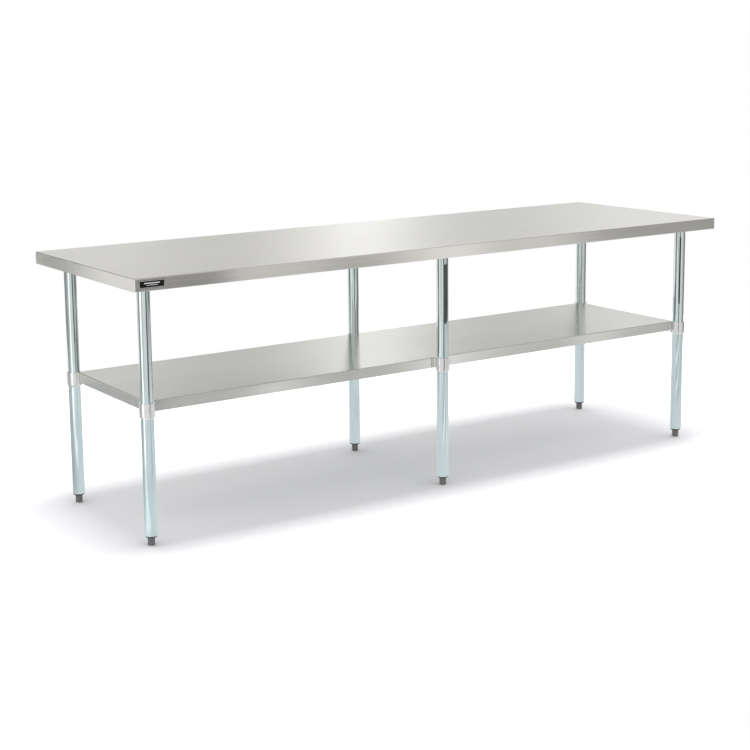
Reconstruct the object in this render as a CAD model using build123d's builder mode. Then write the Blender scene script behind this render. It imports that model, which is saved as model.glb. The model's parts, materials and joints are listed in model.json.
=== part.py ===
from build123d import *
import os
from math import atan, degrees, sqrt

os.makedirs("parts", exist_ok=True)

# Stainless work table, in millimetres.  X runs along the length, Y along the depth with the
# front at -Y, Z up from the floor.  The origin is on the floor under the middle of the top.

# Table top: one sheet folded down on all four sides, with a return along the bottom
LENGTH = 2438.0
DEPTH = 762.0
HEIGHT = 864.0
TOP_SHEET = 1.5
TOP_EDGE = 41.0
TOP_BEND = 3.0
TOP_CORNER = 3.5
TOP_RETURN = 13.0
HEM_BEND = 1.2
TOP_UNDER = HEIGHT - TOP_SHEET

# Hat channels
HAT_SHEET = 1.5
HAT_WIDTH = 60.0
HAT_FLANGE = 20.0
HAT_BEND = 2.5
TOP_HAT_DROP = 25.0
SHELF_HAT_DROP = 20.0
CROSS_LENGTH = 690.0
STRINGER_GAP = 2.0
SHELF_HAT_LENGTH = 2120.0

# Leg tubes and where they stand
LEG_X = 1141.0
LEG_Y = 278.0
TUBE_R = 20.65
TUBE_WALL = 1.5
TUBE_BOTTOM = 32.0
TUBE_TOP = 859.0
TUBE_RIM = 0.4

# Top sockets
SOCKET_R = 24.5
SOCKET_BORE = TUBE_R + 0.1
SOCKET_BOTTOM = 815.0
SOCKET_TOP = 861.0
SOCKET_RIM = 1.5
PLATE = 4.0
PLATE_X = 58.0
PLATE_Y = 112.0
PLATE_CORNER = 8.0
BOLT_X = 34.0
BOLT_Y = 84.0
BOLT_R = 4.0
BOLT_HOLE = 4.25
HEAD_FLATS = 13.0
HEAD_HEIGHT = 5.3
NUT_HEIGHT = 6.5

# Undershelf: the same fold as the top, notched round the collars
SHELF_LENGTH = 2268.0
SHELF_DEPTH = 530.0
SHELF_TOP = 458.0
SHELF_SHEET = 1.2
SHELF_EDGE = 36.0
SHELF_BEND = 2.5
SHELF_CORNER = 3.0
SHELF_RETURN = 10.0
SHELF_UNDER = SHELF_TOP - SHELF_SHEET
NOTCH_R = 24.75

# Cast collars that carry the undershelf on the legs
COLLAR_R = 24.5
COLLAR_BORE = TUBE_R + 0.08
COLLAR_HEIGHT = 50.0
COLLAR_TAPER_IN = 3.5
COLLAR_TAPER_UP = 6.0
PAD = 4.0
PAD_LENGTH = 72.0
PAD_DEPTH = 58.0
PAD_CUT = 35.0
PAD_SLACK = 1.5
MID_PAD_LENGTH = 92.0
MID_PAD_DEPTH = 50.0
RIB = 5.0
RIB_REACH = 52.0
RIB_DROP = 28.0

# Weld studs and their nuts
STUD_R = 3.0
STUD_HOLE = 3.3
STUD_LENGTH = 12.0
STUD_NUT_FLATS = 10.0
STUD_NUT_HEIGHT = 5.0
THREAD_GAP = 0.1

# Set screws
SCREW_R = 3.0
SCREW_GAP = 0.05
SCREW_OUT = 28.5
SCREW_KEY = 3.0
SCREW_KEY_DEPTH = 3.0
SOCKET_SCREW_Z = 824.0
SHELF_SCREW_Z = 416.5
SHELF_SCREW_OFF = 0.35

# Levelling feet
PLUG_R = TUBE_R - TUBE_WALL - 0.05
PLUG_TOP = 57.0
PLUG_BARBS = 3
PLUG_BARB_DEPTH = 0.6
RING_R = 20.4
RING_BOTTOM_R = 17.6
RING_BOTTOM = 27.0
FOOT_STUD_R = 6.0
FOOT_STUD_CLEARANCE = 0.06
FOOT_STUD_BOTTOM = 6.0
FOOT_STUD_TOP = 76.0
FOOT_FLATS = 22.2
FOOT_TOP = 26.5
FOOT_SOLE_BEVEL = 2.2
FOOT_TOP_BEVEL = 0.8

# Nameplate on the front edge
NAME_X = -1160.5
NAME_Z = 844.0
NAME_LENGTH = 86.0
NAME_HEIGHT = 24.0
NAME_PLATE = 0.4
NAME_RELIEF = 0.2
NAME_CORNER = 2.0
NAME_BORDER = 1.0
NAME_INSET = 1.2
NAME_BAR = 1.6

STATIONS = {
    "front_left": (-LEG_X, -LEG_Y),
    "front_mid": (0.0, -LEG_Y),
    "front_right": (LEG_X, -LEG_Y),
    "rear_left": (-LEG_X, LEG_Y),
    "rear_mid": (0.0, LEG_Y),
    "rear_right": (LEG_X, LEG_Y),
}


def side(value):
    """-1, 0 or 1: which side of the middle a coordinate lies on."""
    return (value > 0) - (value < 0)


def inward(x, y):
    """Level unit vector from a leg towards the middle of the table."""
    reach = sqrt(side(x) ** 2 + side(y) ** 2)
    return (-side(x) / reach, -side(y) / reach, 0.0)


def folded_pan(length, depth, top, edge, sheet, bend, corner, lip):
    """Sheet with all four edges folded down and a return turned in along the bottom."""
    with BuildPart() as pan:
        with BuildSketch(Plane.XY.offset(top - edge)):
            RectangleRounded(length, depth, corner)
        extrude(amount=edge)
        fillet(pan.faces().sort_by(Axis.Z)[-1].edges(), bend)
        offset(amount=-sheet, openings=pan.faces().sort_by(Axis.Z)[0])
        with BuildSketch(Plane.XY.offset(top - edge)):
            RectangleRounded(length - sheet, depth - sheet, corner - sheet / 2)
            Rectangle(length - 2 * lip, depth - 2 * lip, mode=Mode.SUBTRACT)
        extrude(amount=sheet)
        hem = pan.faces().sort_by(Axis.Z)[0].outer_wire().edges()
        fillet(hem, HEM_BEND)
    return pan.part


def hat_channel(plane, length, drop):
    """Hat section with its flanges on the plane's X axis, hanging below it."""
    with BuildPart() as hat:
        with BuildSketch(plane):
            with Locations((0, -HAT_SHEET / 2)):
                Rectangle(HAT_WIDTH + 2 * HAT_FLANGE, HAT_SHEET)
            with Locations((0, -drop / 2)):
                Rectangle(HAT_WIDTH, drop)
            with Locations((0, (HAT_SHEET - drop) / 2)):
                Rectangle(HAT_WIDTH - 2 * HAT_SHEET, drop - HAT_SHEET, mode=Mode.SUBTRACT)
        extrude(amount=length / 2, both=True)
        run = Axis((0, 0, 0), tuple(plane.z_dir))
        fillet(hat.edges().filter_by(run).group_by(Axis.Z)[1], HAT_BEND - HAT_SHEET)
        fillet(hat.edges().filter_by(run).group_by(Axis.Z)[0], HAT_BEND)
    return hat.part


def leg_socket(x, y):
    """Cast socket: a plate bolted to the cross channel and a barrel round the leg's top."""
    with BuildPart() as socket:
        with BuildSketch(Plane.XY.offset(TOP_UNDER - TOP_HAT_DROP - PLATE)):
            with Locations((x, y)):
                RectangleRounded(PLATE_X, PLATE_Y, PLATE_CORNER)
        extrude(amount=PLATE)
        with BuildSketch(Plane.XY.offset(SOCKET_BOTTOM)):
            with Locations((x, y)):
                Circle(SOCKET_R)
        extrude(amount=SOCKET_TOP - SOCKET_BOTTOM)
        chamfer(socket.edges().filter_by(GeomType.CIRCLE).sort_by(Axis.Z)[0], SOCKET_RIM)
        for way in (-1, 1):
            root = Plane((x, y, TOP_UNDER - TOP_HAT_DROP - PLATE), (0, way, 0), (way, 0, 0))
            with BuildSketch(root):
                with BuildLine():
                    Polyline(
                        (SOCKET_BORE + 1, 0.5),
                        (PLATE_Y / 2 - 4, 0.5),
                        (PLATE_Y / 2 - 4, 0),
                        (SOCKET_R, SOCKET_BOTTOM - TOP_UNDER + TOP_HAT_DROP + PLATE + 4),
                        (SOCKET_BORE + 1, SOCKET_BOTTOM - TOP_UNDER + TOP_HAT_DROP + PLATE + 4),
                        close=True,
                    )
                make_face()
            extrude(amount=RIB / 2, both=True)
        with BuildSketch(Plane.XY.offset(SOCKET_BOTTOM - 1)):
            with Locations((x, y)):
                Circle(SOCKET_BORE)
        extrude(amount=TUBE_TOP - SOCKET_BOTTOM + 1, mode=Mode.SUBTRACT)
        with BuildSketch(Plane.XY.offset(TOP_UNDER - TOP_HAT_DROP - 2 * PLATE)):
            with Locations((x, y)):
                with GridLocations(BOLT_X, BOLT_Y, 2, 2):
                    Circle(BOLT_HOLE)
        extrude(amount=3 * PLATE, mode=Mode.SUBTRACT)
        with BuildSketch(Plane((x, y, SOCKET_SCREW_Z), (1, 0, 0), (0, -side(y), 0))):
            Circle(SCREW_R + SCREW_GAP)
        extrude(amount=SOCKET_R + RIB, mode=Mode.SUBTRACT)
    return socket.part


def leg_tube(x, y):
    """Round tube from just above the foot up into the top socket."""
    with BuildPart() as leg:
        with BuildSketch(Plane.XY.offset(TUBE_BOTTOM)):
            with Locations((x, y)):
                Circle(TUBE_R)
                Circle(TUBE_R - TUBE_WALL, mode=Mode.SUBTRACT)
        extrude(amount=TUBE_TOP - TUBE_BOTTOM)
        rims = leg.edges().filter_by(GeomType.CIRCLE).group_by(Axis.Z)[0]
        chamfer(rims.sort_by(SortBy.RADIUS)[-1], TUBE_RIM)
    return leg.part


def foot_insert(x, y):
    """Plastic plug for the end of a leg, with a tapered ring below and a bore for the stud."""
    with BuildPart() as insert:
        with BuildSketch(Plane.XY.offset(TUBE_BOTTOM)):
            with Locations((x, y)):
                Circle(RING_R)
        ring = TUBE_BOTTOM - RING_BOTTOM
        extrude(amount=-ring, taper=degrees(atan((RING_R - RING_BOTTOM_R) / ring)))
        with BuildSketch(Plane.XY.offset(TUBE_BOTTOM)):
            with Locations((x, y)):
                Circle(PLUG_R)
        extrude(amount=PLUG_TOP - TUBE_BOTTOM)
        chamfer(insert.edges().filter_by(GeomType.CIRCLE).sort_by(Axis.Z)[-1], 2.0)
        step = (PLUG_TOP - TUBE_BOTTOM) / (PLUG_BARBS + 1)
        for n in range(PLUG_BARBS):
            with BuildSketch(Plane.XY.offset(TUBE_BOTTOM + step * (n + 1) - 1)):
                with Locations((x, y)):
                    Circle(PLUG_R + 1)
                    Circle(PLUG_R - PLUG_BARB_DEPTH, mode=Mode.SUBTRACT)
            extrude(amount=2, mode=Mode.SUBTRACT)
        with BuildSketch(Plane.XY.offset(RING_BOTTOM - 1)):
            with Locations((x, y)):
                Circle(FOOT_STUD_R + FOOT_STUD_CLEARANCE)
        extrude(amount=PLUG_TOP - RING_BOTTOM + 2, mode=Mode.SUBTRACT)
    return insert.part


def foot_stud(x, y):
    """Steel stud that screws up into the plug."""
    with BuildPart() as stud:
        with BuildSketch(Plane.XY.offset(FOOT_STUD_BOTTOM)):
            with Locations((x, y)):
                Circle(FOOT_STUD_R)
        extrude(amount=FOOT_STUD_TOP - FOOT_STUD_BOTTOM)
        chamfer(stud.edges().filter_by(GeomType.CIRCLE), 1.0)
    return stud.part


def foot_tip(x, y):
    """Hexagonal foot moulded round the lower end of the stud."""
    with BuildPart() as foot:
        with BuildSketch():
            with Locations((x, y)):
                RegularPolygon(FOOT_FLATS / 2, 6, major_radius=False)
        extrude(amount=FOOT_TOP)
        chamfer(foot.faces().sort_by(Axis.Z)[0].edges(), FOOT_SOLE_BEVEL)
        chamfer(foot.faces().sort_by(Axis.Z)[-1].edges(), FOOT_TOP_BEVEL)
        with BuildSketch(Plane.XY.offset(FOOT_STUD_BOTTOM - 0.5)):
            with Locations((x, y)):
                Circle(FOOT_STUD_R + FOOT_STUD_CLEARANCE)
        extrude(amount=FOOT_TOP, mode=Mode.SUBTRACT)
    return foot.part


def pad_studs(x, y):
    """Where the weld studs pass through a collar's pad."""
    if side(x):
        return [(x - side(x) * 66, y - side(y) * 26), (x - side(x) * 24, y - side(y) * 58)]
    return [(-30.0, y - side(y) * 42), (30.0, y - side(y) * 42)]


def shelf_collar(x, y):
    """Cast collar: barrel that slides on the leg, pad under the shelf and a rib between."""
    bottom = SHELF_TOP - COLLAR_HEIGHT
    with BuildPart() as collar:
        with BuildSketch(Plane.XY.offset(bottom + COLLAR_TAPER_UP)):
            with Locations((x, y)):
                Circle(COLLAR_R)
        extrude(amount=COLLAR_HEIGHT - COLLAR_TAPER_UP)
        with BuildSketch(Plane.XY.offset(bottom + COLLAR_TAPER_UP)):
            with Locations((x, y)):
                Circle(COLLAR_R)
        extrude(amount=-COLLAR_TAPER_UP, taper=degrees(atan(COLLAR_TAPER_IN / COLLAR_TAPER_UP)))
        fold_x = SHELF_LENGTH / 2 - SHELF_SHEET - PAD_SLACK
        fold_y = SHELF_DEPTH / 2 - SHELF_SHEET - PAD_SLACK
        with BuildSketch(Plane.XY.offset(SHELF_UNDER - PAD)) as pad:
            if side(x):
                with Locations((side(x) * (fold_x - PAD_LENGTH / 2), side(y) * (fold_y - PAD_DEPTH / 2))):
                    Rectangle(PAD_LENGTH, PAD_DEPTH)
                far = pad.vertices().sort_by_distance((0, 0, SHELF_UNDER))[0]
                chamfer(far, PAD_CUT)
            else:
                with Locations((0, side(y) * (fold_y - MID_PAD_DEPTH / 2))):
                    Rectangle(MID_PAD_LENGTH, MID_PAD_DEPTH)
        extrude(amount=PAD)
        way = inward(x, y)
        with BuildSketch(Plane((x, y, SHELF_UNDER - PAD), way, (way[1], -way[0], 0))):
            with BuildLine():
                Polyline(
                    (COLLAR_BORE + 1, 0.5),
                    (RIB_REACH, 0.5),
                    (RIB_REACH, 0),
                    (COLLAR_R, -RIB_DROP),
                    (COLLAR_BORE + 1, -RIB_DROP),
                    close=True,
                )
            make_face()
        extrude(amount=RIB / 2, both=True)
        with BuildSketch(Plane.XY.offset(bottom - 1)):
            with Locations((x, y)):
                Circle(COLLAR_BORE)
        extrude(amount=COLLAR_HEIGHT + 2, mode=Mode.SUBTRACT)
        with BuildSketch(Plane.XY.offset(SHELF_UNDER - 2 * PAD)):
            with Locations(*pad_studs(x, y)):
                Circle(STUD_HOLE)
        extrude(amount=3 * PAD, mode=Mode.SUBTRACT)
        with BuildSketch(Plane((x, y, SHELF_SCREW_Z), (0, 0, 1), way)):
            Circle(SCREW_R + SCREW_GAP)
        extrude(amount=COLLAR_R + RIB, mode=Mode.SUBTRACT)
    return collar.part


def set_screws(way_at, height, start):
    """One set screw per leg, pointing at the leg's axis, with a hexagon key hole outside."""
    with BuildPart() as screws:
        for x, y in STATIONS.values():
            way = way_at(x, y)
            radial = Plane((x, y, height), (0, 0, 1), way)
            with BuildSketch(radial.offset(start)):
                Circle(SCREW_R)
            extrude(amount=SCREW_OUT - start)
            with BuildSketch(radial.offset(SCREW_OUT)):
                RegularPolygon(SCREW_KEY / 2, 6, major_radius=False)
            extrude(amount=-SCREW_KEY_DEPTH, mode=Mode.SUBTRACT)
    return screws.part


def weld_studs(spots, under):
    """Threaded studs hanging from the underside of a sheet."""
    with BuildPart() as studs:
        with BuildSketch(Plane.XY.offset(under)):
            with Locations(*spots):
                Circle(STUD_R)
        extrude(amount=-STUD_LENGTH)
        chamfer(studs.edges().filter_by(GeomType.CIRCLE).group_by(Axis.Z)[0], 0.6)
    return studs.part


def nuts(spots, seat, flats, height, bore):
    """Hexagonal nuts hanging from a seat height."""
    with BuildPart() as group:
        with BuildSketch(Plane.XY.offset(seat)):
            with Locations(*spots):
                RegularPolygon(flats / 2, 6, major_radius=False)
                Circle(bore, mode=Mode.SUBTRACT)
        extrude(amount=height)
    return group.part


def save(part, name):
    part.label = name
    export_step(part, f"parts/{name}.step")


# Sheet-metal top and undershelf
tabletop = folded_pan(
    LENGTH, DEPTH, HEIGHT, TOP_EDGE, TOP_SHEET, TOP_BEND, TOP_CORNER, TOP_RETURN
)
save(tabletop, "tabletop")

shelf_pan = folded_pan(
    SHELF_LENGTH, SHELF_DEPTH, SHELF_TOP, SHELF_EDGE, SHELF_SHEET, SHELF_BEND, SHELF_CORNER,
    SHELF_RETURN,
)
with BuildPart() as undershelf:
    add(shelf_pan)
    with BuildSketch(Plane.XY.offset(SHELF_TOP - SHELF_EDGE - 1)):
        with Locations(*STATIONS.values()):
            Circle(NOTCH_R)
    extrude(amount=SHELF_EDGE + 2, mode=Mode.SUBTRACT)
save(undershelf.part, "undershelf")

# Cross channels at the three pairs of legs, with holes for sockets, bolts and studs
cross_studs = {}
for place, cx in (("left", -LEG_X), ("mid", 0.0), ("right", LEG_X)):
    section = Plane((cx, 0, TOP_UNDER), (1, 0, 0), (0, -1, 0))
    with BuildPart() as cross:
        add(hat_channel(section, CROSS_LENGTH, TOP_HAT_DROP))
        with BuildSketch(Plane.XY.offset(TOP_UNDER - TOP_HAT_DROP - 1)):
            with Locations((cx, -LEG_Y), (cx, LEG_Y)):
                Circle(SOCKET_R + 0.5)
                with GridLocations(BOLT_X, BOLT_Y, 2, 2):
                    Circle(BOLT_HOLE)
        extrude(amount=HAT_SHEET + 2, mode=Mode.SUBTRACT)
        with BuildSketch(Plane.XY.offset(TOP_UNDER - HAT_SHEET - 1)):
            with Locations((cx, 0)):
                with GridLocations(HAT_WIDTH + HAT_FLANGE, LEG_Y * 1.5, 2, 2) as spots:
                    Circle(STUD_HOLE)
        extrude(amount=HAT_SHEET + 2, mode=Mode.SUBTRACT)
    save(cross.part, f"cross_channel_{place}")
    cross_studs[place] = [
        (cx + sx * (HAT_WIDTH + HAT_FLANGE) / 2, sy * LEG_Y * 0.75)
        for sx in (-1, 1)
        for sy in (-1, 1)
    ]

# Stringers between the cross channels
stringer_length = LEG_X - HAT_WIDTH - 2 * HAT_FLANGE - 2 * STRINGER_GAP
stringer_studs = []
for place, way in (("left", -1), ("right", 1)):
    middle = way * LEG_X / 2
    spots = [
        (middle + step * stringer_length * 0.44, sy * (HAT_WIDTH + HAT_FLANGE) / 2)
        for step in (-1, 0, 1)
        for sy in (-1, 1)
    ]
    stringer_studs += spots
    with BuildPart() as stringer:
        section = Plane((middle, 0, TOP_UNDER), (0, 1, 0), (1, 0, 0))
        add(hat_channel(section, stringer_length, TOP_HAT_DROP))
        with BuildSketch(Plane.XY.offset(TOP_UNDER - HAT_SHEET - 1)):
            with Locations(*spots):
                Circle(STUD_HOLE)
        extrude(amount=HAT_SHEET + 2, mode=Mode.SUBTRACT)
    save(stringer.part, f"stringer_{place}")

# Stiffener under the undershelf
shelf_section = Plane((0, 0, SHELF_UNDER), (0, 1, 0), (1, 0, 0))
save(hat_channel(shelf_section, SHELF_HAT_LENGTH, SHELF_HAT_DROP), "shelf_channel")

# One set of pieces at every leg
for place, (x, y) in STATIONS.items():
    save(leg_socket(x, y), f"socket_{place}")
    save(leg_tube(x, y), f"leg_{place}")
    save(shelf_collar(x, y), f"collar_{place}")
    save(foot_insert(x, y), f"foot_insert_{place}")
    save(foot_stud(x, y), f"foot_stud_{place}")
    save(foot_tip(x, y), f"foot_tip_{place}")

# Bolts and nuts that hold the sockets to the cross channels
plate_under = TOP_UNDER - TOP_HAT_DROP - PLATE
bolt_spots = [
    (x + sx * BOLT_X / 2, y + sy * BOLT_Y / 2)
    for x, y in STATIONS.values()
    for sx in (-1, 1)
    for sy in (-1, 1)
]
with BuildPart() as socket_bolts:
    with BuildSketch(Plane.XY.offset(plate_under)):
        with Locations(*bolt_spots):
            RegularPolygon(HEAD_FLATS / 2, 6, major_radius=False)
    extrude(amount=-HEAD_HEIGHT)
    with BuildSketch(Plane.XY.offset(plate_under)):
        with Locations(*bolt_spots):
            Circle(BOLT_R)
    extrude(amount=PLATE + HAT_SHEET + NUT_HEIGHT + 3)
save(socket_bolts.part, "socket_bolts")
nut_seat = TOP_UNDER - TOP_HAT_DROP + HAT_SHEET
save(nuts(bolt_spots, nut_seat, HEAD_FLATS, NUT_HEIGHT, BOLT_R + THREAD_GAP), "socket_nuts")

# Weld studs and nuts for the channels and for the collars' pads
top_spots = [spot for spots in cross_studs.values() for spot in spots] + stringer_studs
pad_spots = [spot for x, y in STATIONS.values() for spot in pad_studs(x, y)]
save(weld_studs(top_spots, TOP_UNDER), "channel_studs")
save(
    nuts(
        top_spots, TOP_UNDER - HAT_SHEET - STUD_NUT_HEIGHT, STUD_NUT_FLATS, STUD_NUT_HEIGHT,
        STUD_R + THREAD_GAP,
    ),
    "channel_nuts",
)
save(weld_studs(pad_spots, SHELF_UNDER), "shelf_studs")
save(
    nuts(
        pad_spots, SHELF_UNDER - PAD - STUD_NUT_HEIGHT, STUD_NUT_FLATS, STUD_NUT_HEIGHT,
        STUD_R + THREAD_GAP,
    ),
    "shelf_nuts",
)

# Set screws
save(
    set_screws(lambda x, y: (0.0, -float(side(y)), 0.0), SOCKET_SCREW_Z, TUBE_R),
    "socket_set_screws",
)
save(set_screws(inward, SHELF_SCREW_Z, TUBE_R + SHELF_SCREW_OFF), "shelf_set_screws")

# Nameplate with a raised border and plain raised bars
front = Plane((NAME_X, -DEPTH / 2, NAME_Z), (1, 0, 0), (0, -1, 0))
with BuildPart() as nameplate:
    with BuildSketch(front):
        RectangleRounded(NAME_LENGTH, NAME_HEIGHT, NAME_CORNER)
    extrude(amount=NAME_PLATE)
    with BuildSketch(front.offset(NAME_PLATE)):
        outer_x = NAME_LENGTH - 2 * NAME_INSET
        outer_y = NAME_HEIGHT - 2 * NAME_INSET
        Rectangle(outer_x, outer_y)
        Rectangle(outer_x - 2 * NAME_BORDER, outer_y - 2 * NAME_BORDER, mode=Mode.SUBTRACT)
        with Locations((0, 3)):
            Rectangle(NAME_LENGTH * 0.6, NAME_BAR * 2)
        with Locations((0, -3)):
            Rectangle(NAME_LENGTH * 0.42, NAME_BAR)
    extrude(amount=NAME_RELIEF)
save(nameplate.part, "nameplate")
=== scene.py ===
import json
from math import cos, pi, radians, sin

import bmesh
import bpy
from mathutils import Matrix, Vector


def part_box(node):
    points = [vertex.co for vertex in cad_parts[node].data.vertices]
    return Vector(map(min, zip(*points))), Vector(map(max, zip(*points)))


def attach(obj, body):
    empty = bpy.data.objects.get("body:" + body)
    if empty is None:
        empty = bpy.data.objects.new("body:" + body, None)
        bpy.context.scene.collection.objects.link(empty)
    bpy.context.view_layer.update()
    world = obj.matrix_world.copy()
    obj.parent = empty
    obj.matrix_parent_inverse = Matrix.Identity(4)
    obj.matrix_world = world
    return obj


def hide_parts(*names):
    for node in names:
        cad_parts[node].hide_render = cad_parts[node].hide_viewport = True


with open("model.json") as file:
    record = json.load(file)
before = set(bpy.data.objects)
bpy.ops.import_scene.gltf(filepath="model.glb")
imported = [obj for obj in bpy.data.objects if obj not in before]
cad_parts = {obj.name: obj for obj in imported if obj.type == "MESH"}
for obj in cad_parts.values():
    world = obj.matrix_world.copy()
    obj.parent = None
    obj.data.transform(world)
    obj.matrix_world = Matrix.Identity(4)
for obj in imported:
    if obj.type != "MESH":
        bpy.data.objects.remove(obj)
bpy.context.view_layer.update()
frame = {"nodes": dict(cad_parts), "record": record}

MM = 0.001
RECORD = frame["record"]
NODES = frame["nodes"]
PLACES = ("front_left", "front_mid", "front_right", "rear_left", "rear_mid", "rear_right")

# Sizes that the frame's boxes don't give, as in the CAD
TOP_FOLD = {
    "sheet": 1.5 * MM, "bend": 3.0 * MM, "corner": 3.5 * MM, "lip": 13 * MM, "hem": 1.2 * MM
}
SHELF_FOLD = {
    "sheet": 1.2 * MM, "bend": 2.5 * MM, "corner": 3.0 * MM, "lip": 10 * MM, "hem": 1.2 * MM
}
NOTCH_R = 24.75 * MM
TUBE_WALL = 1.5 * MM
PLUG_R = 19.1 * MM
PLUG_BORE = 6.2 * MM
THREAD_PITCH = 1.75 * MM
THREAD_DEPTH = 0.95 * MM
TIP_BORE = 6.15 * MM
TIP_BORE_DEPTH = 5.5 * MM
TIP_CORNER_R = 1.1 * MM


# ---------------------------------------------------------------- node helpers

def new_material(name):
    """An empty node material with its output node."""
    mat = bpy.data.materials.new(name)
    mat.use_nodes = True
    tree = mat.node_tree
    tree.nodes.clear()
    return mat, tree


def add(tree, kind, inputs=None, **props):
    """Adds a node; inputs that are sockets are linked, other inputs are set."""
    made = tree.nodes.new(kind)
    for key, value in props.items():
        setattr(made, key, value)
    for key, value in (inputs or {}).items():
        socket = made.inputs[key]
        if isinstance(value, bpy.types.NodeSocket):
            tree.links.new(value, socket)
        else:
            socket.default_value = value
    return made


def maths(tree, operation, a, b=0.0, c=0.0):
    return add(tree, "ShaderNodeMath", {0: a, 1: b, 2: c}, operation=operation).outputs[0]


def grey(value):
    return (value, value, value, 1.0)


def ramp(tree, factor, stops):
    """Colour ramp through (position, colour or level) stops."""
    made = add(tree, "ShaderNodeValToRGB", {"Fac": factor})
    elements = made.color_ramp.elements
    while len(elements) > 1:
        elements.remove(elements[-1])
    for index, (place, tone) in enumerate(stops):
        element = elements[0] if index == 0 else elements.new(place)
        element.position = place
        element.color = tone if isinstance(tone, tuple) else grey(tone)
    return made.outputs["Color"]


def object_space(tree):
    return add(tree, "ShaderNodeTexCoord").outputs["Object"]


def scaled(tree, vector, factors):
    made = add(tree, "ShaderNodeVectorMath", {0: vector, 1: factors}, operation="MULTIPLY")
    return made.outputs[0]


def noise(tree, vector, scale, detail=3.0, rough=0.55, distortion=0.0):
    made = add(tree, "ShaderNodeTexNoise", {
        "Vector": vector, "Scale": scale, "Detail": detail, "Roughness": rough,
        "Distortion": distortion,
    })
    return made.outputs[0]


def mapped(tree, value, low, high, start=0.0, end=1.0):
    """Clamped linear map of a value from start..end to low..high."""
    made = add(
        tree, "ShaderNodeMapRange",
        {"Value": value, "From Min": start, "From Max": end, "To Min": low, "To Max": high},
    )
    return made.outputs[0]


def mixed(tree, factor, a, b, blend="MIX"):
    made = add(tree, "ShaderNodeMix", data_type="RGBA", blend_type=blend)
    for socket, value in ((made.inputs[0], factor), (made.inputs[6], a), (made.inputs[7], b)):
        if isinstance(value, bpy.types.NodeSocket):
            tree.links.new(value, socket)
        else:
            socket.default_value = value
    return made.outputs[2]


def bump(tree, height, strength, distance, normal=None):
    inputs = {"Strength": strength, "Distance": distance, "Height": height}
    if normal is not None:
        inputs["Normal"] = normal
    return add(tree, "ShaderNodeBump", inputs).outputs[0]


def principled(tree, **inputs):
    """Principled shader wired to the output; underscores in names stand for spaces."""
    shader = add(
        tree, "ShaderNodeBsdfPrincipled",
        {key.replace("_", " "): value for key, value in inputs.items()},
    )
    output = add(tree, "ShaderNodeOutputMaterial")
    tree.links.new(shader.outputs[0], output.inputs[0])
    return shader


# ---------------------------------------------------------------- materials

def brushed_steel(name, tone, shade, rough, anisotropy, skew, fold_shade_amount):
    """Satin sheet steel, brushed along X and down the end faces: streaks, clouding, scratches, and
    painted shade, a dark line along the end folds standing in for a dark reflection.
    """
    mat, tree = new_material(name)
    space = object_space(tree)
    normal = add(tree, "ShaderNodeNewGeometry").outputs["True Normal"]
    facing = add(tree, "ShaderNodeSeparateXYZ", {0: normal}).outputs[0]
    end = maths(tree, "GREATER_THAN", maths(tree, "ABSOLUTE", facing), 0.7)

    def grained(along, over):
        """Coordinates stretched along the brushing, which turns down the two ends."""
        made = add(tree, "ShaderNodeMix", data_type="VECTOR")
        tree.links.new(end, made.inputs[0])
        tree.links.new(scaled(tree, space, (along, over, over)), made.inputs[4])
        tree.links.new(scaled(tree, space, (over, over, along)), made.inputs[5])
        return made.outputs[1]

    fine = noise(tree, grained(6.0, 1600.0), 1.0, 3.0, 0.6)
    streak = noise(tree, grained(0.8, 110.0), 1.0, 3.0, 0.6)
    broad = noise(tree, grained(0.5, 14.0), 1.0, 2.0, 0.5)
    cloud = noise(tree, scaled(tree, space, (1.0, 1.6, 1.6)), 1.6, 2.0, 0.5, 0.4)
    scratch = noise(tree, scaled(tree, space, (14.0, 420.0, 420.0)), 1.0, 2.0, 0.5, 1.2)
    grain = maths(
        tree, "ADD", maths(tree, "MULTIPLY", fine, 0.55), maths(tree, "MULTIPLY", streak, 0.45)
    )
    light = tuple(min(1.0, c * 1.035) for c in tone[:3]) + (1.0,)
    colour = ramp(tree, grain, [(0.32, shade), (0.52, tone), (0.72, light)])
    banded = mixed(tree, mapped(tree, broad, 0.0, 0.25, 0.40, 0.70), colour, shade)
    marked = mixed(tree, mapped(tree, scratch, 0.0, 0.20, 0.70, 0.80), banded, light)
    # painted shade: the bends of the two end folds get a dark line standing in for a dark
    # reflection, its strength varied by noise
    lean_x, _, lean_z = add(
        tree, "ShaderNodeSeparateXYZ", {0: add(tree, "ShaderNodeNewGeometry").outputs["Normal"]}
    ).outputs
    lean = maths(tree, "ABSOLUTE", maths(tree, "MULTIPLY", lean_x, lean_z))
    fold_shade_varied = mapped(tree, noise(tree, space, 5.0, 3.0, 0.6), fold_shade_amount * 0.6, fold_shade_amount, 0.35, 0.65)
    painted_fold_shade = maths(tree, "MULTIPLY", fold_shade_varied, mapped(tree, lean, 0.0, 1.0, 0.20, 0.42))
    fold_shade_colour = tuple(c * 0.25 for c in tone[:3]) + (1.0,)
    with_fold_shade = mixed(tree, painted_fold_shade, marked, fold_shade_colour)
    base = mapped(tree, grain, rough - 0.012, rough + 0.02, 0.3, 0.7)
    wiped = maths(tree, "ADD", base, mapped(tree, cloud, -0.008, 0.012, 0.35, 0.7))
    relief = bump(tree, grain, 0.06, 0.0001)
    waved = bump(tree, cloud, 0.03, 0.003, relief)
    across = add(
        tree, "ShaderNodeVectorMath", {0: normal, 1: (1.0, 0.0, 0.0)}, operation="CROSS_PRODUCT"
    )
    tangent = add(
        tree, "ShaderNodeVectorMath", {0: across.outputs[0], 1: skew}, operation="ADD"
    )
    principled(
        tree, Base_Color=with_fold_shade, Metallic=1.0, Roughness=wiped, Normal=waved,
        Anisotropic=anisotropy, Tangent=tangent.outputs[0],
    )
    return mat


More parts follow.
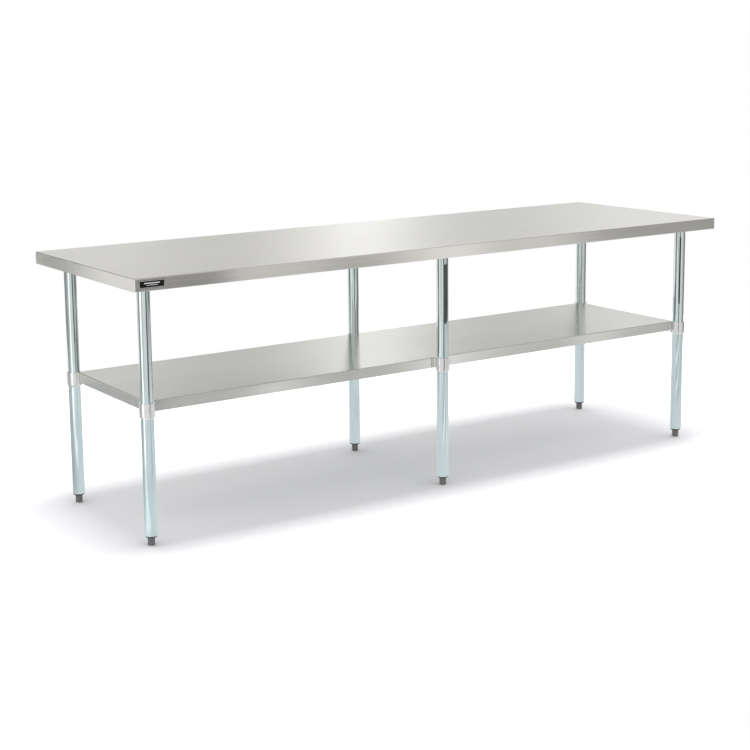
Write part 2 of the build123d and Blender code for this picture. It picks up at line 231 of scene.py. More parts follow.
def bright_tube():
    """Drawn tube with a bright bluish zinc finish: fine lines along it and faint clouding."""
    mat, tree = new_material("bright_zinc_tube")
    space = object_space(tree)
    drawn = noise(tree, scaled(tree, space, (700.0, 700.0, 3.0)), 1.0, 3.0, 0.6)
    cloud = noise(tree, scaled(tree, space, (6.0, 6.0, 2.0)), 2.0, 4.0, 0.55, 0.5)
    colour = ramp(tree, cloud, [
        (0.3, (0.63, 0.72, 0.715, 1.0)), (0.55, (0.70, 0.795, 0.785, 1.0)),
        (0.75, (0.77, 0.85, 0.84, 1.0)),
    ])
    lines = mapped(tree, drawn, 0.0, 0.3, 0.5, 0.75)
    lined = mixed(tree, lines, colour, (0.60, 0.69, 0.685, 1.0))
    rough = maths(
        tree, "ADD", mapped(tree, drawn, 0.05, 0.09, 0.3, 0.7),
        mapped(tree, cloud, 0.0, 0.03, 0.4, 0.75),
    )
    relief = bump(tree, drawn, 0.03, 0.0001)
    principled(tree, Base_Color=lined, Metallic=1.0, Roughness=rough, Normal=relief)
    return mat


def galvanised():
    """Folded galvanised strip with a crystal spangle of mixed tone and gloss."""
    mat, tree = new_material("galvanised_spangle")
    space = object_space(tree)
    swirl = add(tree, "ShaderNodeTexNoise", {"Vector": space, "Scale": 60.0, "Detail": 2.0})
    drift = scaled(tree, swirl.outputs["Color"], (0.01, 0.01, 0.01))
    warp = add(tree, "ShaderNodeVectorMath", {0: space, 1: drift}, operation="ADD").outputs[0]
    cells = add(tree, "ShaderNodeTexVoronoi", {"Vector": warp, "Scale": 85.0, "Randomness": 1.0})
    tone = add(tree, "ShaderNodeSeparateColor", {0: cells.outputs["Color"]}).outputs[0]
    speckle = noise(tree, space, 900.0, 3.0, 0.6)
    colour = ramp(tree, tone, [
        (0.0, (0.42, 0.45, 0.47, 1.0)), (0.5, (0.56, 0.59, 0.60, 1.0)),
        (1.0, (0.70, 0.72, 0.73, 1.0)),
    ])
    frost = mapped(tree, speckle, 0.0, 0.4, 0.45, 0.75)
    frosted = mixed(tree, frost, colour, (0.38, 0.40, 0.42, 1.0))
    rough = maths(
        tree, "ADD", mapped(tree, tone, 0.30, 0.50), mapped(tree, speckle, -0.03, 0.05, 0.3, 0.7)
    )
    relief = bump(tree, cells.outputs["Distance"], 0.12, 0.0006, bump(tree, speckle, 0.08, 0.0002))
    principled(tree, Base_Color=frosted, Metallic=1.0, Roughness=rough, Normal=relief)
    return mat


def cast_aluminium():
    """Sand-toned cast aluminium: tumbled skin, fine pits and slightly polished rims."""
    mat, tree = new_material("cast_aluminium_tumbled")
    space = object_space(tree)
    skin = noise(tree, space, 420.0, 4.0, 0.6)
    blotch = noise(tree, space, 45.0, 4.0, 0.55, 0.3)
    pits = add(tree, "ShaderNodeTexVoronoi", {"Vector": space, "Scale": 700.0}).outputs["Distance"]
    worn = add(tree, "ShaderNodeNewGeometry").outputs["Pointiness"]
    colour = ramp(tree, blotch, [
        (0.3, (0.71, 0.705, 0.69, 1.0)), (0.55, (0.79, 0.785, 0.77, 1.0)),
        (0.75, (0.84, 0.835, 0.82, 1.0)),
    ])
    grit = mapped(tree, skin, 0.0, 0.30, 0.5, 0.75)
    skinned = mixed(tree, grit, colour, (0.60, 0.58, 0.57, 1.0))
    rim = mapped(tree, worn, 0.0, 0.6, 0.51, 0.56)
    edged = mixed(tree, rim, skinned, (0.88, 0.86, 0.85, 1.0))
    rough = maths(
        tree, "ADD", mapped(tree, skin, 0.20, 0.30, 0.3, 0.7),
        mapped(tree, worn, 0.0, -0.06, 0.51, 0.56),
    )
    pitted = bump(tree, maths(tree, "MINIMUM", pits, 0.3), 0.12, 0.0003)
    relief = bump(tree, skin, 0.18, 0.0003, pitted)
    principled(tree, Base_Color=edged, Metallic=1.0, Roughness=rough, Normal=relief)
    return mat


def plated_steel():
    """Zinc-plated fasteners: a faint straw cast and handling marks."""
    mat, tree = new_material("plated_steel_fastener")
    space = object_space(tree)
    mottle = noise(tree, space, 160.0, 4.0, 0.6, 0.4)
    fine = noise(tree, space, 1400.0, 2.0, 0.5)
    colour = ramp(tree, mottle, [
        (0.3, (0.52, 0.50, 0.45, 1.0)), (0.55, (0.64, 0.62, 0.57, 1.0)),
        (0.75, (0.74, 0.73, 0.69, 1.0)),
    ])
    rough = maths(
        tree, "ADD", mapped(tree, mottle, 0.20, 0.32, 0.3, 0.7),
        mapped(tree, fine, -0.02, 0.05, 0.3, 0.7),
    )
    relief = bump(tree, fine, 0.10, 0.00015)
    principled(tree, Base_Color=colour, Metallic=1.0, Roughness=rough, Normal=relief)
    return mat


def moulded(name, dark, light, rough):
    """Moulded plastic with a fine spark-eroded grain, flow clouding and scuffed edges."""
    mat, tree = new_material(name)
    space = object_space(tree)
    grain = noise(tree, space, 1500.0, 3.0, 0.6)
    flow = noise(tree, scaled(tree, space, (1.0, 1.0, 0.4)), 60.0, 4.0, 0.6, 0.6)
    worn = add(tree, "ShaderNodeNewGeometry").outputs["Pointiness"]
    colour = ramp(tree, flow, [(0.3, dark), (0.7, light)])
    scuff = tuple(min(1.0, c * 1.9) for c in light[:3]) + (1.0,)
    scuffed = mixed(tree, mapped(tree, worn, 0.0, 0.5, 0.51, 0.58), colour, scuff)
    shade = mapped(tree, grain, rough - 0.06, rough + 0.08, 0.3, 0.7)
    relief = bump(tree, grain, 0.25, 0.00015, bump(tree, flow, 0.05, 0.0004))
    principled(
        tree, Base_Color=scuffed, Roughness=shade, Normal=relief, Specular_IOR_Level=0.5
    )
    return mat


def enamel():
    """Black fired enamel with a light orange peel and dust-fine scratches."""
    mat, tree = new_material("black_enamel_plate")
    space = object_space(tree)
    peel = noise(tree, space, 500.0, 2.0, 0.5)
    scratch = noise(tree, scaled(tree, space, (60.0, 900.0, 1400.0)), 1.0, 3.0, 0.7)
    colour = ramp(tree, scratch, [
        (0.45, (0.006, 0.006, 0.007, 1.0)), (0.8, (0.022, 0.022, 0.023, 1.0))
    ])
    rough = mapped(tree, scratch, 0.30, 0.42, 0.4, 0.75)
    relief = bump(tree, peel, 0.05, 0.0001)
    principled(tree, Base_Color=colour, Roughness=rough, Normal=relief, Specular_IOR_Level=0.15)
    return mat


def white_relief():
    """Raised border and bars of the nameplate: off-white enamel rubbed thin in places."""
    mat, tree = new_material("white_enamel_relief")
    space = object_space(tree)
    rub = noise(tree, scaled(tree, space, (300.0, 900.0, 900.0)), 1.0, 3.0, 0.6)
    colour = ramp(tree, rub, [(0.3, (0.44, 0.435, 0.42, 1.0)), (0.7, (0.64, 0.63, 0.615, 1.0))])
    rough = mapped(tree, rub, 0.30, 0.45, 0.3, 0.7)
    relief = bump(tree, rub, 0.1, 0.00015)
    principled(tree, Base_Color=colour, Roughness=rough, Normal=relief)
    return mat


# leans the brushing a little off the length of the sheet
SKEW = (0.0, 0.2, 0.0)
# the last argument of each steel sets how strong its painted dark line along the end folds is
TOP_STEEL = brushed_steel(
    "satin_stainless_top", (0.87, 0.858, 0.813, 1.0), (0.81, 0.799, 0.757, 1.0),
    rough=0.21, anisotropy=0.97, skew=SKEW, fold_shade_amount=0.9,
)
SHELF_STEEL = brushed_steel(
    "satin_stainless_shelf", (0.765, 0.757, 0.715, 1.0), (0.705, 0.697, 0.658, 1.0),
    rough=0.20, anisotropy=0.98, skew=SKEW, fold_shade_amount=0.3,
)
TUBE = bright_tube()
STRIP = galvanised()
CAST = cast_aluminium()
PLATED = plated_steel()
BLACK = moulded("black_moulded_plug", (0.012, 0.012, 0.012, 1.0), (0.030, 0.030, 0.031, 1.0), 0.45)
GREY = moulded("grey_moulded_foot", (0.085, 0.083, 0.085, 1.0), (0.125, 0.123, 0.126, 1.0), 0.5)
ENAMEL = enamel()
WHITE = white_relief()


# ---------------------------------------------------------------- mesh helpers

def piece(name, bm, materials, body, replaces=(), sharp=30.0):
    """Turns a bmesh into a smooth-shaded piece that rides on a body."""
    bmesh.ops.recalc_face_normals(bm, faces=bm.faces[:])
    mesh = bpy.data.meshes.new(name)
    bm.to_mesh(mesh)
    bm.free()
    for mat in materials:
        mesh.materials.append(mat)
    for face in mesh.polygons:
        face.use_smooth = True
    mesh.set_sharp_from_angle(angle=radians(sharp))
    made = bpy.data.objects.new(name, mesh)
    bpy.context.scene.collection.objects.link(made)
    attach(made, body)
    if replaces:
        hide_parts(*replaces)
    return made


def apply(made, kind, **props):
    """Adds a modifier and applies it at once."""
    modifier = made.modifiers.new(kind.lower(), kind)
    for key, value in props.items():
        setattr(modifier, key, value)
    depsgraph = bpy.context.evaluated_depsgraph_get()
    result = bpy.data.meshes.new_from_object(made.evaluated_get(depsgraph))
    old = made.data
    made.modifiers.clear()
    made.data = result
    result.name = old.name
    bpy.data.meshes.remove(old)


def rounded_ring(half_x, half_y, radius, z, steps):
    """Level rounded rectangle round the origin, anticlockwise."""
    points = []
    for qx, qy, start in ((1, 1, 0), (-1, 1, 90), (-1, -1, 180), (1, -1, 270)):
        for i in range(steps + 1):
            a = radians(start + 90 * i / steps)
            points.append((
                qx * (half_x - radius) + radius * cos(a),
                qy * (half_y - radius) + radius * sin(a), z,
            ))
    return points


def arc(cx, cz, radius, start, end, steps):
    """(inset, height) points on a circle; angles in degrees from outward, turning up."""
    return [
        (cx - radius * cos(radians(start + (end - start) * i / steps)),
         cz + radius * sin(radians(start + (end - start) * i / steps)))
        for i in range(steps + 1)
    ]


def circle(x, y, radius, z, segments):
    """Level circle, anticlockwise from +X."""
    return [
        (x + radius * cos(2 * pi * i / segments), y + radius * sin(2 * pi * i / segments), z)
        for i in range(segments)
    ]


def bridge(bm, lower, upper):
    """A closed band of faces between two rings of as many vertices."""
    count = len(lower)
    for i in range(count):
        j = (i + 1) % count
        bm.faces.new((lower[i], lower[j], upper[j], upper[i]))


def folded_pan(half_x, half_y, top, edge, sheet, bend, corner, lip, hem):
    """Rings down the outside of a folded sheet, round its return and back up the inside."""
    inner = bend - sheet
    profile = [(bend + 30 * MM, top), (bend + 1.2 * MM, top)]
    profile += arc(bend, top - bend, bend, 90, 0, 8)
    profile += [(0.0, top - bend - 0.8 * MM), (0.0, top - edge + hem + 0.8 * MM)]
    profile += arc(hem, top - edge + hem, hem, 0, -90, 5)
    under, over = top - edge, top - edge + sheet
    profile += [(hem + 0.6 * MM, under), (lip - 0.3 * MM, under), (lip, under + 0.3 * MM)]
    profile += [(lip, over - 0.3 * MM), (lip - 0.3 * MM, over)]
    profile += [(sheet + 0.8 * MM, over), (sheet, over + 0.8 * MM)]
    profile += [(sheet, top - bend - 0.8 * MM)]
    profile += arc(bend, top - bend, inner, 0, 90, 5)
    profile += [(bend + 1.2 * MM, top - sheet), (bend + 30 * MM, top - sheet)]
    bm = bmesh.new()
    rings = []
    for inset, z in profile:
        radius = max(corner - inset, 0.35 * MM)
        level = rounded_ring(half_x - inset, half_y - inset, radius, z, 6)
        rings.append([bm.verts.new(p) for p in level])
    for above, below in zip(rings, rings[1:]):
        bridge(bm, below, above)
    bm.faces.new(rings[0])
    bm.faces.new(list(reversed(rings[-1])))
    return bm


def lathe(profile, x, y, segments=96):
    """Closed (radius, height) profile turned round a vertical axis."""
    bm = bmesh.new()
    rings = [[bm.verts.new(p) for p in circle(x, y, radius, z, segments)] for radius, z in profile]
    for k in range(len(rings)):
        bridge(bm, rings[k], rings[(k + 1) % len(rings)])
    return bm


def centre(node):
    low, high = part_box(node)
    return (low + high) / 2


# ---------------------------------------------------------------- pieces

def make_top():
    low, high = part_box("tabletop")
    bm = folded_pan(
        (high.x - low.x) / 2, (high.y - low.y) / 2, high.z, high.z - low.z, **TOP_FOLD
    )
    return piece("top_sheet", bm, [TOP_STEEL], "frame", ["tabletop"])


def make_shelf():
    low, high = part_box("undershelf")
    bm = folded_pan(
        (high.x - low.x) / 2, (high.y - low.y) / 2, high.z, high.z - low.z, **SHELF_FOLD
    )
    shelf = piece("shelf_sheet", bm, [SHELF_STEEL], "shelf", ["undershelf"])
    cutter = bmesh.new()
    past = 5 * MM
    for place in PLACES:
        axis = centre("leg_" + place)
        disc = bmesh.ops.create_circle(cutter, segments=96, radius=NOTCH_R, cap_ends=True)["verts"]
        bmesh.ops.translate(cutter, verts=disc, vec=(axis.x, axis.y, low.z - past))
        lower = [f for f in cutter.faces if f.verts[0] in disc]
        top = bmesh.ops.extrude_face_region(cutter, geom=lower)["geom"]
        rise = [v for v in top if isinstance(v, bmesh.types.BMVert)]
        bmesh.ops.translate(cutter, verts=rise, vec=(0, 0, high.z - low.z + 2 * past))
    bmesh.ops.recalc_face_normals(cutter, faces=cutter.faces[:])
    mesh = bpy.data.meshes.new("notch_cutter")
    cutter.to_mesh(mesh)
    cutter.free()
    tool = bpy.data.objects.new("notch_cutter", mesh)
    bpy.context.scene.collection.objects.link(tool)
    apply(shelf, "BOOLEAN", operation="DIFFERENCE", object=tool, solver="EXACT")
    bpy.data.objects.remove(tool)
    bpy.data.meshes.remove(mesh)
    shelf.data.set_sharp_from_angle(angle=radians(30))
    apply(shelf, "WEIGHTED_NORMAL", keep_sharp=True, weight=80)
    return shelf


def make_leg(place):
    axis = centre("leg_" + place)
    low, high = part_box("leg_" + place)
    outer = (high.x - low.x) / 2
    inner = outer - TUBE_WALL
    profile = [
        (inner, low.z + 0.3 * MM), (inner + 0.3 * MM, low.z), (outer - 0.4 * MM, low.z),
        (outer, low.z + 0.4 * MM), (outer, low.z + 1.2 * MM),
        (outer, high.z - 1.2 * MM), (outer, high.z - 0.2 * MM),
        (outer - 0.2 * MM, high.z), (inner + 0.2 * MM, high.z), (inner, high.z - 0.2 * MM),
    ]
    bm = lathe(profile, axis.x, axis.y)
    return piece("leg_tube_" + place, bm, [TUBE], "frame", ["leg_" + place])


def make_foot(place):
    axis = centre("leg_" + place)
    ring_low, ring_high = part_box("foot_insert_" + place)
    ring_r = (ring_high.x - ring_low.x) / 2
    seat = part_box("leg_" + place)[0].z
    profile = [
        (PLUG_BORE, ring_low.z + 0.4 * MM), (PLUG_BORE + 0.4 * MM, ring_low.z),
        (17.0 * MM, ring_low.z), (17.6 * MM, ring_low.z + 0.4 * MM),
        (ring_r - 0.35 * MM, seat - 0.8 * MM), (ring_r, seat - 0.25 * MM),
        (ring_r - 0.2 * MM, seat - 0.02 * MM), (PLUG_R, seat),
    ]
    # three grooves round the plug
    gap = (ring_high.z - seat) / 4
    for n in (1, 2, 3):
        z = seat + gap * n
        profile += [
            (PLUG_R, z - 1.2 * MM), (PLUG_R - 0.6 * MM, z - 0.8 * MM),
            (PLUG_R - 0.6 * MM, z + 0.8 * MM), (PLUG_R, z + 1.2 * MM),
        ]
    profile += [
        (PLUG_R, ring_high.z - 2 * MM), (PLUG_R - 2 * MM, ring_high.z), (PLUG_BORE, ring_high.z)
    ]
    bm = lathe(profile, axis.x, axis.y, 72)
    piece("foot_plug_" + place, bm, [BLACK], "frame", ["foot_insert_" + place])

    low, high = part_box("foot_stud_" + place)
    bm = thread(
        axis.x, axis.y, low.z, high.z, (high.x - low.x) / 2, THREAD_PITCH, THREAD_DEPTH
    )
    piece(
        "foot_screw_" + place, bm, [PLATED], "screw_" + place,
        ["foot_stud_" + place], 45,
    )

    low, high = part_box("foot_tip_" + place)
    bm = hex_foot(axis.x, axis.y, low.z, high.z, (high.y - low.y) / 2)
    piece(
        "foot_hex_" + place, bm, [GREY], "tip_" + place,
        ["foot_tip_" + place], 40,
    )


def thread(x, y, low, high, radius, pitch, depth, segments=40):
    """Screw thread as one continuous helical sheet, faded out and capped at both ends."""
    bm = bmesh.new()
    # one turn's section, as shares of the pitch and of the depth: crest, flank, root
    section = [(0.0, 0.0), (0.10, 0.0), (0.46, 1.0), (0.64, 1.0)]
    turns = int((high - low) / pitch) - 1
    start = low + 0.5 * pitch
    columns = []
    total = turns * segments
    for step in range(total + 1):
        angle = 2 * pi * step / segments
        base = start + pitch * step / segments
        fade = min(1.0, step / segments, (total - step) / segments)
        column = []
        for share, sink in section:
            r = radius - 0.02 * MM - depth * max(sink * fade, 1 - fade)
            column.append(
                bm.verts.new((x + r * cos(angle), y + r * sin(angle), base + share * pitch))
            )
        columns.append(column)
    for a, b in zip(columns, columns[1:]):
        for k in range(len(section) - 1):
            bm.faces.new((a[k], b[k], b[k + 1], a[k + 1]))
    # each turn's last flank reaches the next turn's crest
    for step in range(total - segments):
        above = step + segments
        bm.faces.new((
            columns[step][-1], columns[step + 1][-1], columns[above + 1][0], columns[above][0]
        ))
    # the free edges at the two ends are gathered to flat caps
    for edge_ring, z in (
        ([columns[i][0] for i in range(segments + 1)], low),
        ([columns[i][-1] for i in range(total - segments, total + 1)], high),
    ):
        rim = [bm.verts.new(p) for p in circle(x, y, radius - depth, z, segments)]
        offset = 0 if z == low else (total - segments) % segments
        for i in range(segments):
            a, b = edge_ring[i], edge_ring[i + 1]
            c, d = rim[(i + 1 + offset) % segments], rim[(i + offset) % segments]
            bm.faces.new((a, b, c, d))
        bm.faces.new(rim)
        first, last = edge_ring[0], edge_ring[-1]
        bm.faces.new([first, last, rim[offset % segments]])
    bmesh.ops.remove_doubles(bm, verts=bm.verts[:], dist=1e-7)
    return bm


def hex_foot(x, y, low, high, flat):
    """Hexagonal moulded foot, rounded at its corners and bevelled at the sole and top."""
    bm = bmesh.new()
    to_corner = 1 / cos(radians(30))
    steps = 4
    count = 6 * (steps + 1)

    def ring(inset, z):
        """Hexagon a given inset inside the flats, each corner rounded in a few steps."""
        points = []
        soft = max(TIP_CORNER_R - inset * 0.5, 0.3 * MM)
        middle = (flat - inset - soft) * to_corner
        for k in range(6):
            c = radians(60 * k)
            for i in range(steps + 1):
                a = radians(60 * k - 30 + 60 * i / steps)
                points.append(bm.verts.new((
                    x + middle * cos(c) + soft * cos(a), y + middle * sin(c) + soft * sin(a), z
                )))
        return points

    # (inset, height) from the hollow of the sole, round its bevel and up to the top
    profile = [
        (4.2 * MM, low + 0.9 * MM), (4.0 * MM, low), (2.5 * MM, low), (2.1 * MM, low + 0.1 * MM),
        (0.3 * MM, low + 1.9 * MM), (0.0, low + 2.5 * MM), (0.0, high - 1.1 * MM),
        (0.2 * MM, high - 0.4 * MM), (0.8 * MM, high), (2.0 * MM, high),
    ]
    rings = [ring(inset, z) for inset, z in profile]
    for below, above in zip(rings, rings[1:]):
        bridge(bm, below, above)
    bm.faces.new(list(reversed(rings[0])))
    # top face with the stud's hole
    hole = [bm.verts.new(p) for p in circle(x, y, TIP_BORE, high, count)]
    outer = rings[-1]
    start = min(range(count), key=lambda i: (outer[i].co - hole[0].co).length)
    for i in range(count):
        a, b = outer[(start + i) % count], outer[(start + i + 1) % count]
        bm.faces.new((a, b, hole[(i + 1) % count], hole[i]))
    bottom = [bm.verts.new((v.co.x, v.co.y, low + TIP_BORE_DEPTH)) for v in hole]
    bridge(bm, hole, bottom)
    bm.faces.new(bottom)
    return bm


def make_nameplate():
    low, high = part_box("nameplate")
    cx, cz = (low.x + high.x) / 2, (low.z + high.z) / 2
    half_x, half_z = (high.x - low.x) / 2, (high.z - low.z) / 2
    back, front = high.y, low.y
    face = back - 0.4 * MM
    bm = bmesh.new()

    def loop(half_a, half_b, radius, y, at=(0.0, 0.0)):
        return [
            bm.verts.new((cx + at[0] + px, y, cz + at[1] + pz))
            for px, pz, _ in rounded_ring(half_a, half_b, radius, 0.0, 6)
        ]

    plate = [
        loop(half_x, half_z, 2 * MM, back), loop(half_x, half_z, 2 * MM, face + 0.12 * MM),
        loop(half_x - 0.12 * MM, half_z - 0.12 * MM, 1.9 * MM, face),
    ]
    for a, b in zip(plate, plate[1:]):
        bridge(bm, a, b)
    bm.faces.new(plate[0])
    bm.faces.new(list(reversed(plate[-1])))
    relief_from = len(bm.faces)
    # border frame standing on the plate
    outer_x, outer_z = half_x - 1.2 * MM, half_z - 1.2 * MM
    width, lift = 0.9 * MM, 0.05 * MM
    sunk = face + 0.05 * MM
    rings = [
        loop(outer_x, outer_z, 1.2 * MM, sunk), loop(outer_x, outer_z, 1.2 * MM, front + lift),
        loop(outer_x - lift, outer_z - lift, 1.15 * MM, front),
        loop(outer_x - width + lift, outer_z - width + lift, 0.5 * MM, front),
        loop(outer_x - width, outer_z - width, 0.4 * MM, front + lift),
        loop(outer_x - width, outer_z - width, 0.4 * MM, sunk),
    ]
    for i in range(len(rings)):
        bridge(bm, rings[i], rings[(i + 1) % len(rings)])
    # plain bars
    for half_a, half_b, at in (
        (25.8 * MM, 1.6 * MM, (0.0, 3 * MM)), (18 * MM, 0.8 * MM, (0.0, -3 * MM)),
    ):
        soft = min(half_b * 0.6, 0.7 * MM)
        bar = [
            loop(half_a, half_b, soft, sunk, at), loop(half_a, half_b, soft, front + lift, at),
            loop(half_a - lift, half_b - lift, soft * 0.9, front, at),
        ]
        for a, b in zip(bar, bar[1:]):
            bridge(bm, a, b)
        bm.faces.new(bar[0])
        bm.faces.new(list(reversed(bar[-1])))
    bm.faces.ensure_lookup_table()
    for f in bm.faces[relief_from:]:
        f.material_index = 1
    return piece("name_plate", bm, [ENAMEL, WHITE], "frame", ["nameplate"])


make_top()
make_shelf()
make_nameplate()
for place in PLACES:
    make_leg(place)
    make_foot(place)

SLOT_MATERIALS = {
    "galvanised": STRIP, "cast_aluminium": CAST, "plated_steel": PLATED, "bright_tube": TUBE,
    "satin_stainless": TOP_STEEL, "satin_shelf": SHELF_STEEL, "black_plastic": BLACK,
    "grey_plastic": GREY, "black_enamel": ENAMEL,
}
for entry in RECORD["subparts"]:
    shown = NODES[entry["node"]]
    for slot in shown.material_slots:
        slot.material = SLOT_MATERIALS[entry["material_slot"]]


# ---------------------------------------------------------------- stage, light and camera

# Where the camera stands and how it looks, from the fit
EYE = (-3.1583, -4.4582, 1.557)
YAW, PITCH, ROLL = 0.5683, 0.1632, -0.0145
SENSOR_MM = 36.0
LENS_MM = 73.474
SHIFT = (0.06905, -0.11167)

# Everything down to the lamp is what reflections see, set against the photo's steel.
# (compass degrees from +Y towards +X, brightness) round the studio, above and below eye level
UPPER = [
    (-180, 0.85), (-140, 0.85), (-128, 0.74), (-116, 0.55), (-100, 0.66), (-70, 0.36),
    (-44, 0.36), (-33, 1.10), (-12, 1.10), (8, 0.82), (22, 0.82), (25.2, 0.86), (27.6, 0.74),
    (29.0, 0.63), (31.0, 0.66), (32.3, 0.80), (33.6, 1.22), (35.2, 1.34), (37.0, 0.86),
    (38.8, 0.69), (41, 0.68), (43, 0.84), (45.5, 0.97), (70, 0.5), (92, 0.20), (106, 0.20),
    (120, 0.36), (134.3, 0.38), (136.4, 0.80), (139.4, 0.52), (142.4, 1.06), (145.2, 0.62),
]
LOWER = [
    (-180, 0.85), (-140, 0.85), (-128, 0.74), (-116, 0.55), (-100, 0.66), (-70, 0.36),
    (-44, 0.36), (-33, 1.22), (-12, 1.15), (8, 0.75), (40, 0.7), (62, 0.5), (92, 0.20),
    (106, 0.20), (120, 0.36), (127, 0.34), (134.3, 0.38), (136.2, 0.86), (139.4, 0.52),
    (141.2, 0.80), (142.4, 1.06), (143.6, 0.80), (145.4, 0.74), (148.4, 0.15), (150.4, 0.48),
    (160, 0.80), (168, 0.85), (180, 0.85),
]
OVERHEAD = 0.5
NADIR = 0.8
WARM = (1.0, 0.975, 0.965, 1.0)

# (degrees from -Y towards +X, brightness) of bands on the floor in front, fanned round a fixed
# point: the photo's camera mirrored in the shelf's front
FLOOR_FAN = [
    (20.0, 0.85), (25.5, 0.71), (28.4, 0.56), (29.7, 0.72), (30.9, 1.24), (32.0, 0.94),
    (33.4, 0.64), (35.3, 0.57), (36.4, 0.82), (37.5, 1.18), (38.5, 0.73), (40.0, 0.56),
    (41.6, 0.58), (43.0, 1.02), (44.3, 0.56), (47.0, 0.58), (50.0, 0.74),
]
FAN_CENTRE = (round(EYE[0], 3), round(2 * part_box("undershelf")[0].y - EYE[1], 3))
FLOOR_SEEN = 0.80
FLOOR_BEHIND = 0.54
GLOW = 1.15
GLOW_Y = -0.37
COOL = (0.965, 1.0, 1.03, 1.0)

# Light on everything else, and the lamp
AMBIENT = 1.09
LIGHT_WATTS = 260.0
LAMP_SIZE = (3.5, 1.5)
LAMP_AT = (0.1, -0.08, 5.0)
FLOOR_HALF = (3.1, 2.1)
FLOOR_PAINT = (0.84, 0.84, 0.855, 1.0)


def panel(name, corners, mat):
    """Flat panel of the stage, from its corners."""
    bm = bmesh.new()
    bm.faces.new([bm.verts.new(p) for p in corners])
    mesh = bpy.data.meshes.new(name)
    bm.to_mesh(mesh)
    bm.free()
    mesh.materials.append(mat)
    made = bpy.data.objects.new(name, mesh)
    bpy.context.scene.collection.objects.link(made)
    return made


def make_floor():
    """Pale floor; reflections see a card on it, banded in front, dim and glowing on the left."""
    mat, tree = new_material("pale_floor")
    diffuse = add(tree, "ShaderNodeBsdfDiffuse", {"Color": FLOOR_PAINT})
    x, y, _ = add(tree, "ShaderNodeSeparateXYZ", {0: object_space(tree)}).outputs
    turn = maths(
        tree, "ARCTAN2", maths(tree, "SUBTRACT", x, FAN_CENTRE[0]),
        maths(tree, "SUBTRACT", FAN_CENTRE[1], y),
    )
    first, last = FLOOR_FAN[0][0], FLOOR_FAN[-1][0]
    fan = mapped(tree, turn, 0.0, 1.0, radians(first), radians(last))
    span = last - first
    bands = ramp(tree, fan, [((angle - first) / span, level) for angle, level in FLOOR_FAN])
    ahead = mapped(tree, y, 1.0, 0.0, -1.1, -0.7)
    seen = mixed(tree, ahead, grey(FLOOR_SEEN), bands)
    beside = mapped(tree, x, 1.0, 0.0, -1.35, -1.15)
    behind = mapped(tree, y, 0.0, 1.0, -0.15, 0.35)
    seen = mixed(tree, maths(tree, "MULTIPLY", behind, beside), seen, grey(FLOOR_BEHIND))
    off = maths(tree, "ABSOLUTE", maths(tree, "ADD", y, -GLOW_Y))
    glow = maths(tree, "MULTIPLY", mapped(tree, off, 1.0, 0.0, 0.12, 0.26), beside)
    seen = mixed(tree, glow, seen, grey(GLOW))
    cooled = mixed(tree, 1.0, seen, COOL, "MULTIPLY")
    card = add(tree, "ShaderNodeEmission", {"Color": cooled, "Strength": 1.0})
    glossy = add(tree, "ShaderNodeLightPath").outputs["Is Glossy Ray"]
    both = add(tree, "ShaderNodeMixShader", {0: glossy, 1: diffuse.outputs[0], 2: card.outputs[0]})
    output = add(tree, "ShaderNodeOutputMaterial")
    tree.links.new(both.outputs[0], output.inputs[0])
    half_x, half_y = FLOOR_HALF
    corners = ((-half_x, -half_y), (half_x, -half_y), (half_x, half_y), (-half_x, half_y))
    floor = panel("floor", [(*corner, 0) for corner in corners], mat)


def make_flag(name, corner, along, rise, level):
    """Upright panel, dark or bright, that only reflections show: a corner, an edge, a height."""
    mat, tree = new_material(name)
    card = add(tree, "ShaderNodeEmission", {"Color": grey(level), "Strength": 1.0})
    output = add(tree, "ShaderNodeOutputMaterial")
    tree.links.new(card.outputs[0], output.inputs[0])
    x, y, z = corner
    dx, dy = along
    flag = panel(name, [
        (x, y, z), (x + dx, y + dy, z), (x + dx, y + dy, z + rise), (x, y, z + rise)
    ], mat)
    for ray in ("camera", "diffuse", "transmission", "volume_scatter", "shadow"):
        setattr(flag, "visible_" + ray, False)


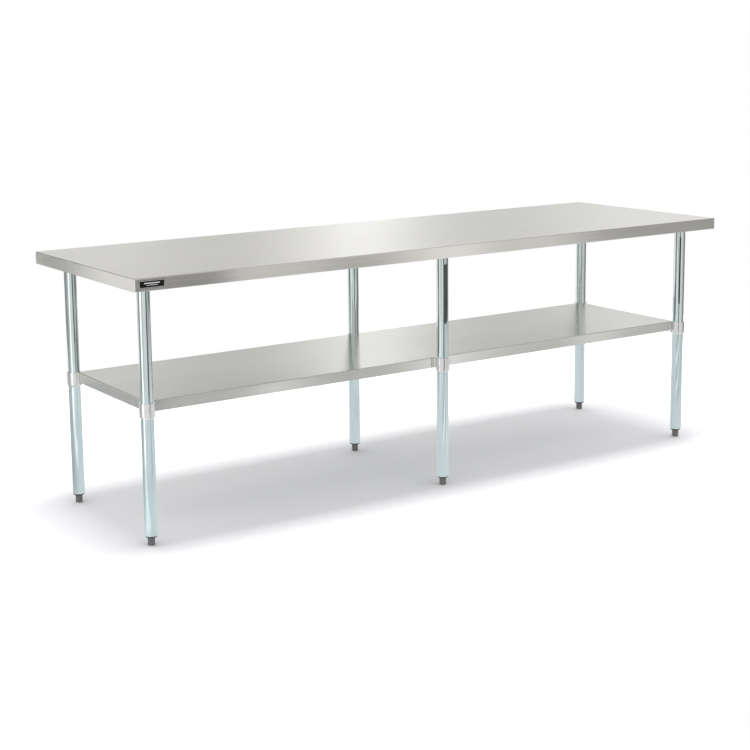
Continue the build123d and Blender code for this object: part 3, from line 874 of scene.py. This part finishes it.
def make_world():
    """Studio of even light, except that reflections see it bright and dark by direction."""
    world = bpy.data.worlds.new("studio")
    bpy.context.scene.world = world
    world.use_nodes = True
    tree = world.node_tree
    tree.nodes.clear()
    direction = add(tree, "ShaderNodeTexCoord").outputs["Generated"]
    x, y, z = add(tree, "ShaderNodeSeparateXYZ", {0: direction}).outputs
    # compass angle from +Y towards +X, as a share of a turn from -180 degrees
    angle = maths(tree, "ARCTAN2", x, y)
    share = maths(tree, "MULTIPLY_ADD", angle, 1 / (2 * pi), 0.5)

    def pan(stops):
        return ramp(tree, share, [(degrees / 360 + 0.5, level) for degrees, level in stops])

    upper = pan(UPPER)
    lower = pan(LOWER)
    above = mapped(tree, z, 0.0, 1.0, -0.03, 0.03)
    around = mixed(tree, above, lower, upper)
    overhead = mapped(tree, z, 0.0, 1.0, 0.45, 0.75)
    around = mixed(tree, overhead, around, grey(OVERHEAD))
    nadir = mapped(tree, z, 1.0, 0.0, -0.7, -0.35)
    around = mixed(tree, nadir, around, grey(NADIR))
    front = mapped(tree, y, 1.0, 0.0, -0.2, 0.2)
    around = mixed(tree, front, around, mixed(tree, 1.0, around, WARM, "MULTIPLY"))
    rays = add(tree, "ShaderNodeLightPath")
    glossy = rays.outputs["Is Glossy Ray"]
    camera = rays.outputs["Is Camera Ray"]
    seen = mixed(tree, glossy, grey(AMBIENT), around)
    shown = mixed(tree, camera, seen, grey(1.0))
    background = add(tree, "ShaderNodeBackground", {"Color": shown, "Strength": 1.0})
    output = add(tree, "ShaderNodeOutputWorld")
    tree.links.new(background.outputs[0], output.inputs[0])


def make_light():
    """Softbox overhead, which casts the shadow under the table and isn't mirrored in it."""
    data = bpy.data.lights.new("overhead_softbox", "AREA")
    data.shape = "RECTANGLE"
    data.size, data.size_y = LAMP_SIZE
    data.energy = LIGHT_WATTS
    lamp = bpy.data.objects.new("overhead_softbox", data)
    lamp.location = LAMP_AT
    lamp.visible_glossy = False
    lamp.visible_camera = False
    bpy.context.scene.collection.objects.link(lamp)


def make_camera():
    """Camera at the photo's viewing angle, with a small shift for framing."""
    ahead = Vector((sin(YAW) * cos(PITCH), cos(YAW) * cos(PITCH), -sin(PITCH)))
    right = ahead.cross(Vector((0, 0, 1))).normalized()
    up = right.cross(ahead)
    right, up = right * cos(ROLL) + up * sin(ROLL), up * cos(ROLL) - right * sin(ROLL)
    data = bpy.data.cameras.new("camera")
    data.sensor_width = SENSOR_MM
    data.lens = LENS_MM
    data.shift_x, data.shift_y = SHIFT
    data.clip_end = 100.0
    eye = bpy.data.objects.new("camera", data)
    turn = Matrix((right, up, -ahead)).transposed().to_4x4()
    eye.matrix_world = Matrix.Translation(EYE) @ turn
    bpy.context.scene.collection.objects.link(eye)
    bpy.context.scene.camera = eye


make_floor()
make_flag("front_flag", (-0.9, -2.8, -0.4), (1.06, 0.0), 1.2, 0.12)
make_flag("left_card", (-2.1, -0.62, 0.0), (0.0, 0.46), 1.2, 1.6)
make_flag("front_mid_flag", (-0.005, -0.345, 0.57), (0.11, 0.0), 0.21, 0.09)
make_flag("front_right_flag", (1.07, -0.345, 0.52), (0.05, 0.0), 0.26, 0.06)
make_flag("left_flag", (-1.65, 0.92, 0.34), (0.0, 0.9), 1.25, 0.04)
make_world()
make_light()
make_camera()

scene = bpy.context.scene
scene.view_settings.view_transform = "Standard"
scene.view_settings.look = "None"
